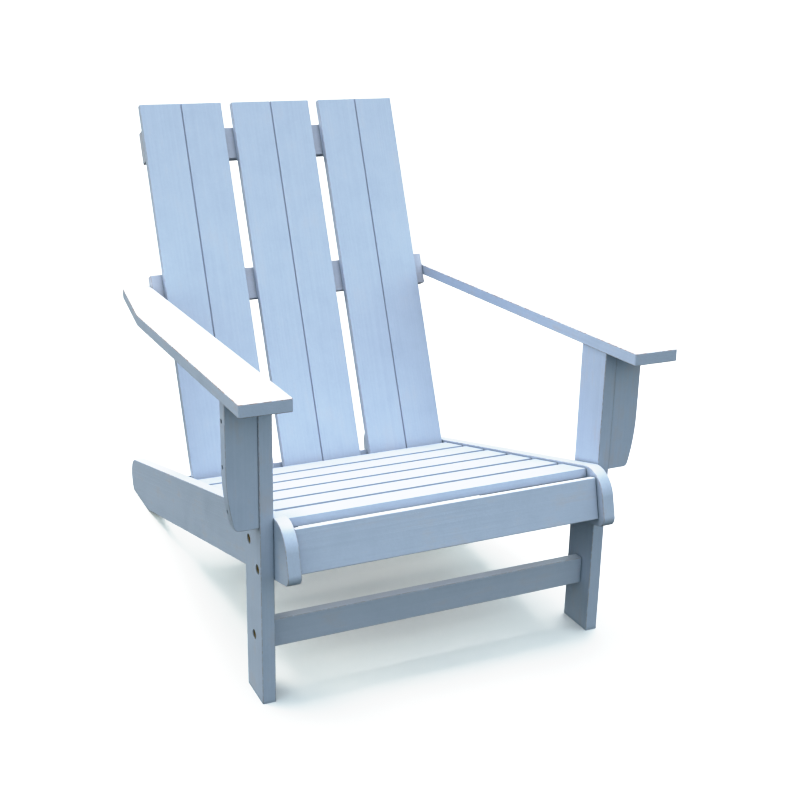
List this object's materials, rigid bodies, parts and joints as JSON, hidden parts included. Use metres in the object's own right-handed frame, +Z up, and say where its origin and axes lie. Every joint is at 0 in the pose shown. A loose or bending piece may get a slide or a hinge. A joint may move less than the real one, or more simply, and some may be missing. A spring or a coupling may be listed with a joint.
{
  "type": "adirondack chair",
  "caption": "Low garden armchair of painted boards: sloping slatted seat, reclined back of wide grooved boards, flat tapered arms on bracketed legs.",
  "frame": {"origin": "on the ground, under the middle of the chair's overall outline", "axes": "+X to the sitter's left, the viewer's right when looking at the chair's front; +Y to the rear; +Z up. The chair faces -Y."},
  "size_m": [0.732, 1.0174, 0.8384],
  "materials": {
    "painted_wood": "satin powder-blue paint over softwood, worn thin on the edges",
    "brass_bolts": "brass-coloured plated bolt heads, slightly dulled",
    "steel_screws": "dull zinc-plated steel",
    "zinc_nuts": "plain zinc",
    "dowel_wood": "bare beech"
  },
  "bodies": {
    "root": {"apron_block_screws": "steel_screws", "apron_screws": "steel_screws", "arm_back_rail": "painted_wood", "arm_dowels": "dowel_wood", "arm_screws": "steel_screws", "back_block_screws": "steel_screws", "back_board_1": "painted_wood", "back_board_2": "painted_wood", "back_board_3": "painted_wood", "back_board_screws": "steel_screws", "barrel_nuts": "zinc_nuts", "bracket_screws": "steel_screws", "cleat_screws": "steel_screws", "front_apron": "painted_wood", "left_apron_block": "painted_wood", "left_arm": "painted_wood", "left_arm_bracket": "painted_wood", "left_back_block": "painted_wood", "left_front_leg": "painted_wood", "left_seat_cleat": "painted_wood", "left_side_rail": "painted_wood", "leg_bolts": "brass_bolts", "leg_stretcher": "painted_wood", "lower_back_rail": "painted_wood", "lower_rail_screws": "steel_screws", "right_apron_block": "painted_wood", "right_arm": "painted_wood", "right_arm_bracket": "painted_wood", "right_back_block": "painted_wood", "right_front_leg": "painted_wood", "right_seat_cleat": "painted_wood", "right_side_rail": "painted_wood", "seat_slat_1": "painted_wood", "seat_slat_2": "painted_wood", "seat_slat_3": "painted_wood", "seat_slat_4": "painted_wood", "seat_slat_5": "painted_wood", "seat_slat_6": "painted_wood", "slat_screws": "steel_screws", "stretcher_bolts": "brass_bolts", "threaded_inserts": "zinc_nuts", "upper_back_rail": "painted_wood"}
  },
  "joints": []
}
